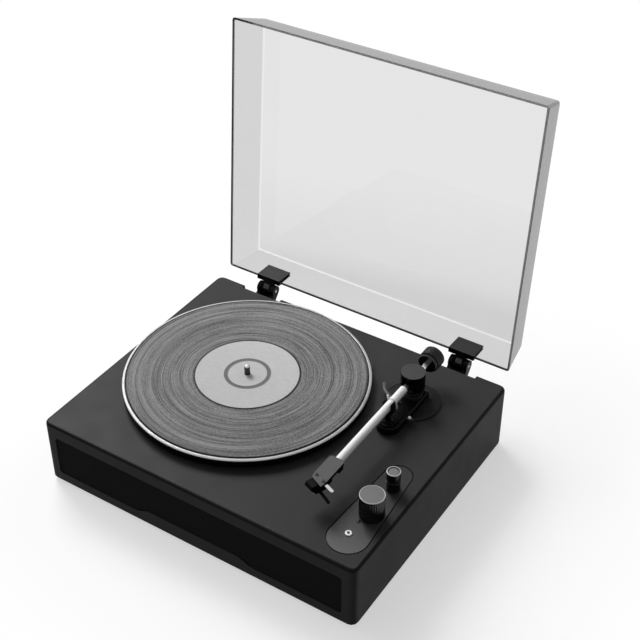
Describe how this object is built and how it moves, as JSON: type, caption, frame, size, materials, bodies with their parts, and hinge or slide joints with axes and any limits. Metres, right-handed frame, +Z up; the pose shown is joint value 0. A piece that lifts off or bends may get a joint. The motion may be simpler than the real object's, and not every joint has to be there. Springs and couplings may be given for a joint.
{
  "type": "record player",
  "caption": "Belt-drive record player with a record on its platter, a straight tonearm on its rest, a front speaker grille, a control plate and an open clear hinged dust cover.",
  "frame": {"origin": "middle of the bounding box's bottom, on the surface that the feet stand on", "axes": "+Z up, -Y to the front with the grille, +X to the side with the controls and the tonearm"},
  "size_m": [0.444, 0.4614, 0.4643],
  "materials": {
    "vinyl_wrap": "satin black vinyl wrap on board",
    "bottom_sheet": "matt black board",
    "black_plastic": "satin black moulding",
    "gloss_black": "polished black",
    "black_metal": "satin black coat",
    "rubber": "matt",
    "cloth": "fine woven cloth",
    "grey_plate": "brushed dark grey",
    "bright_metal": "polished",
    "satin_metal": "satin",
    "white_tube": "white gloss enamel",
    "tail_metal": "polished",
    "record_vinyl": "pressed black vinyl",
    "label_paper": "plain silver-grey paper",
    "clear_acrylic": "clear polished acrylic",
    "board_green": "green lacquered board"
  },
  "bodies": {
    "cabinet": {"plinth_cabinet": "vinyl_wrap", "bottom_board": "bottom_sheet", "foot_front_left": "rubber", "foot_front_right": "rubber", "foot_rear_left": "rubber", "foot_rear_right": "rubber", "grille_cloth": "cloth", "speaker_frame_left": "black_plastic", "speaker_frame_right": "black_plastic", "speaker_cone_left": "cloth", "speaker_cone_right": "cloth", "amplifier_board": "board_green", "drive_motor": "satin_metal", "drive_belt": "rubber", "spindle_bearing": "satin_metal", "control_panel": "grey_plate", "volume_control_case": "satin_metal", "selector_switch_case": "satin_metal", "headphone_jack": "bright_metal", "power_led": "gloss_black", "tonearm_base": "gloss_black", "arm_board": "black_plastic", "arm_rest": "black_plastic", "hinge_bracket_left": "black_plastic", "hinge_bracket_right": "black_plastic", "hinge_pin_left": "satin_metal", "hinge_pin_right": "satin_metal", "back_panel": "black_plastic", "phono_socket_left": "bright_metal", "phono_socket_right": "bright_metal", "power_inlet": "black_plastic"},
    "platter_set": {"platter": "black_plastic", "platter_rim": "bright_metal", "spindle": "bright_metal", "slip_mat": "cloth", "record": "record_vinyl", "record_label": "label_paper"},
    "pulley": {"motor_pulley": "satin_metal"},
    "volume": {"volume_knob": "gloss_black", "volume_knob_cap": "satin_metal"},
    "selector": {"selector_knob": "gloss_black", "selector_knob_cap": "grey_plate"},
    "arm_yoke": {"arm_housing": "black_plastic", "arm_pillar": "black_plastic"},
    "tonearm": {"arm_pivot_block": "black_plastic", "arm_tube": "white_tube", "tail_shaft": "tail_metal", "headshell": "black_plastic", "cartridge": "gloss_black", "stylus": "satin_metal", "finger_lift": "tail_metal", "headshell_screw_left": "bright_metal", "headshell_screw_right": "bright_metal"},
    "weight": {"counterweight": "black_metal", "counterweight_dial": "gloss_black"},
    "lever": {"cue_lever": "gloss_black"},
    "lift": {"cue_lift_bar": "satin_metal"},
    "cover": {"dust_cover": "clear_acrylic", "hinge_clip_left": "black_plastic", "hinge_clip_right": "black_plastic"}
  },
  "joints": [
    {"name": "platter_spin", "type": "hinge", "parent": "cabinet", "child": "platter_set", "pos_m": [-0.0552, -0.03722, 0.0946], "axis": [0, 0, -1], "continuous": true},
    {"name": "pulley_spin", "type": "hinge", "parent": "cabinet", "child": "pulley", "pos_m": [-0.13864, 0.04622, 0.0946], "axis": [0, 0, -1], "continuous": true},
    {"name": "volume_turn", "type": "hinge", "parent": "cabinet", "child": "volume", "pos_m": [0.1924, -0.14772, 0.0946], "axis": [0, 0, -1], "range_deg": [0, 300]},
    {"name": "selector_turn", "type": "hinge", "parent": "cabinet", "child": "selector", "pos_m": [0.1917, -0.09952, 0.0946], "axis": [0, 0, -1], "range_deg": [-45, 45]},
    {"name": "arm_swing", "type": "hinge", "parent": "cabinet", "child": "arm_yoke", "pos_m": [0.1353, 0.04298, 0.1307], "axis": [0, 0, -1], "range_deg": [0, 52]},
    {"name": "arm_lift", "type": "hinge", "parent": "arm_yoke", "child": "tonearm", "pos_m": [0.1353, 0.04298, 0.1307], "axis": [-0.9999, 0.0122, 0], "range_deg": [0, 12]},
    {"name": "counterweight_slide", "type": "slide", "parent": "tonearm", "child": "weight", "axis": [0.0122, 0.9997, 0.0213], "range_m": [-0.006, 0.004]},
    {"name": "cue_lift", "type": "slide", "parent": "cabinet", "child": "lift", "axis": [0, 0, 1], "range_m": [0, 0.0028]},
    {"name": "cue_lever_turn", "type": "hinge", "parent": "cabinet", "child": "lever", "pos_m": [0.1533, 0.00498, 0.1014], "axis": [-1, 0, 0], "range_deg": [0, 55]},
    {"name": "cover_hinge", "type": "hinge", "parent": "cabinet", "child": "cover", "pos_m": [0, 0.14308, 0.0934], "axis": [-1, 0, 0], "range_deg": [-94.8, 0]}
  ],
  "couplings": [
    {"joint": "pulley_spin", "follows": "platter_spin", "ratio": 14.154},
    {"joint": "cue_lever_turn", "follows": "cue_lift", "rad_per_m": 342.8}
  ]
}
